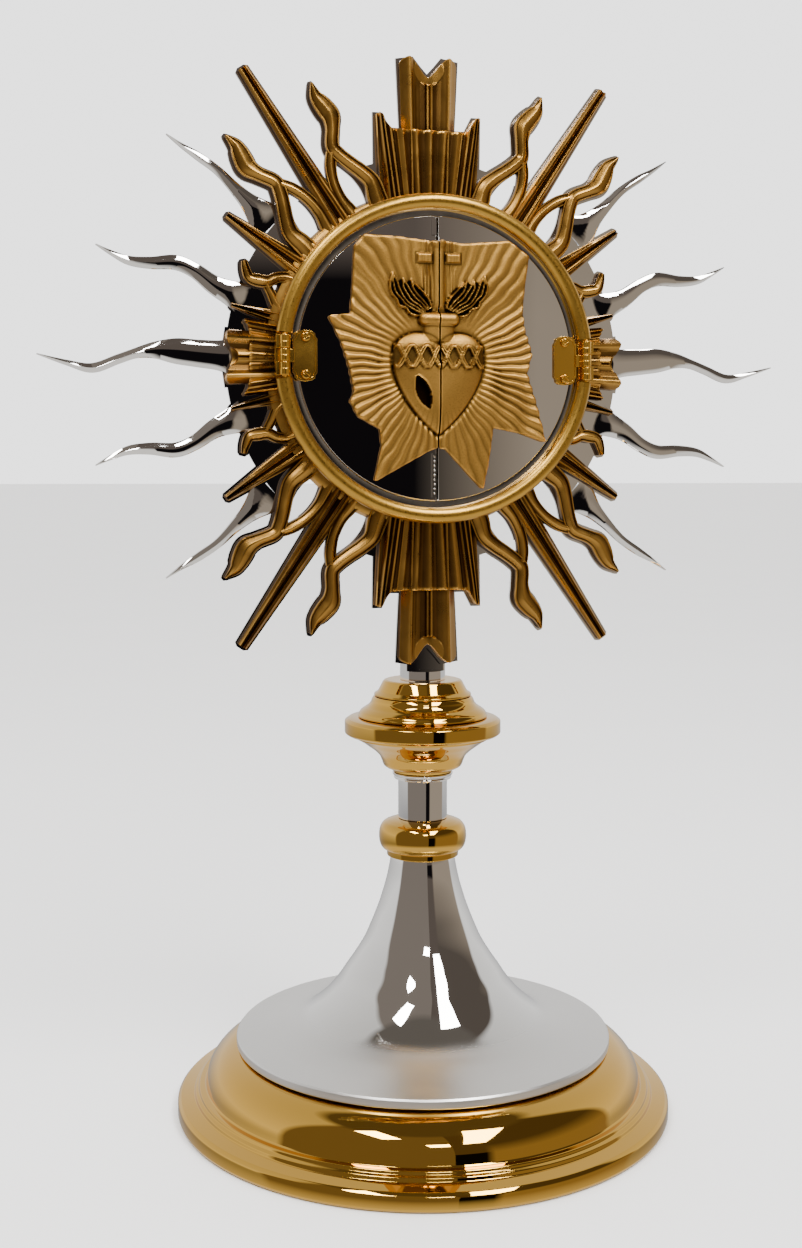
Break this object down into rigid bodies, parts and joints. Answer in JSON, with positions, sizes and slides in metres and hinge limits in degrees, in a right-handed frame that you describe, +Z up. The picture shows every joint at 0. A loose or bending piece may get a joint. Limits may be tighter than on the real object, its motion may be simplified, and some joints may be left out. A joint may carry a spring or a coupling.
{
  "type": "monstrance",
  "caption": "Table monstrance: round stepped foot, flared stem with a knop, and a sunburst head with a round glazed case behind a pair of hinged relief doors.",
  "frame": {"origin": "centre of the foot's underside, on the surface that it stands on", "axes": "+Z up along the stem, the doors face -Y, +X to the viewer's right"},
  "size_m": [0.3892, 0.25, 0.5366],
  "materials": {
    "polished_gold": "mirror polished gold plating",
    "antique_gold": "satin antique gold with dark recesses and polished ridges",
    "satin_gold": "brushed gold",
    "grained_gold": "matte grained gold",
    "hinge_gold": "polished gold",
    "luna_gold": "polished gold",
    "polished_silver": "mirror polished silver plating",
    "plate_silver": "mirror polished silver plating",
    "door_silver": "mirror polished silver plating",
    "drum_silver": "polished silver plating",
    "steel": "turned steel",
    "felt_pad": "dark green felt",
    "clear_glass": "clear"
  },
  "bodies": {
    "stand": {"base_pad": "felt_pad", "foot_base": "polished_gold", "foot_cover": "polished_silver", "lower_collar": "polished_gold", "lower_stem_tube": "polished_silver", "stem_ferrule": "polished_silver", "knop_lower_bell": "polished_gold", "knop_flange": "polished_gold", "knop_upper_bell": "polished_gold", "knop_cap": "polished_gold", "upper_stem_tube": "polished_silver", "stem_top_cap": "polished_silver", "stem_plug": "steel", "tie_rod": "steel", "tie_rod_washer": "steel", "tie_rod_nut": "steel", "stem_screw_1": "steel", "stem_screw_2": "steel", "back_plate": "plate_silver", "gilded_sunburst": "antique_gold", "drum": "drum_silver", "bezel_ring": "satin_gold", "rear_cover": "drum_silver", "sunburst_screw_1": "steel", "sunburst_screw_2": "steel", "sunburst_screw_3": "steel", "sunburst_screw_4": "steel", "cover_screw_1": "steel", "cover_screw_2": "steel", "cover_screw_3": "steel", "cover_screw_4": "steel", "luna_front_ring": "luna_gold", "luna_back_ring": "luna_gold", "luna_front_glass": "clear_glass", "luna_back_glass": "clear_glass", "luna_cradle": "luna_gold", "luna_knob": "luna_gold", "door_magnet": "steel", "left_hinge_frame_leaf": "hinge_gold", "left_hinge_pin": "hinge_gold", "right_hinge_frame_leaf": "hinge_gold", "right_hinge_pin": "hinge_gold"},
    "left_door": {"left_door_panel": "door_silver", "left_relief": "grained_gold", "left_hinge_door_leaf": "hinge_gold", "left_hinge_screw_upper": "hinge_gold", "left_hinge_screw_lower": "hinge_gold", "closing_bead": "hinge_gold"},
    "right_door": {"right_door_panel": "door_silver", "right_relief": "grained_gold", "right_hinge_door_leaf": "hinge_gold", "right_hinge_screw_upper": "hinge_gold", "right_hinge_screw_lower": "hinge_gold"}
  },
  "joints": [
    {"name": "left_door_hinge", "type": "hinge", "parent": "stand", "child": "left_door", "pos_m": [-0.078, -0.031, 0.381], "axis": [0, 0, -1], "range_deg": [0, 120]},
    {"name": "right_door_hinge", "type": "hinge", "parent": "stand", "child": "right_door", "pos_m": [0.078, -0.031, 0.381], "axis": [0, 0, 1], "range_deg": [0, 120]}
  ]
}
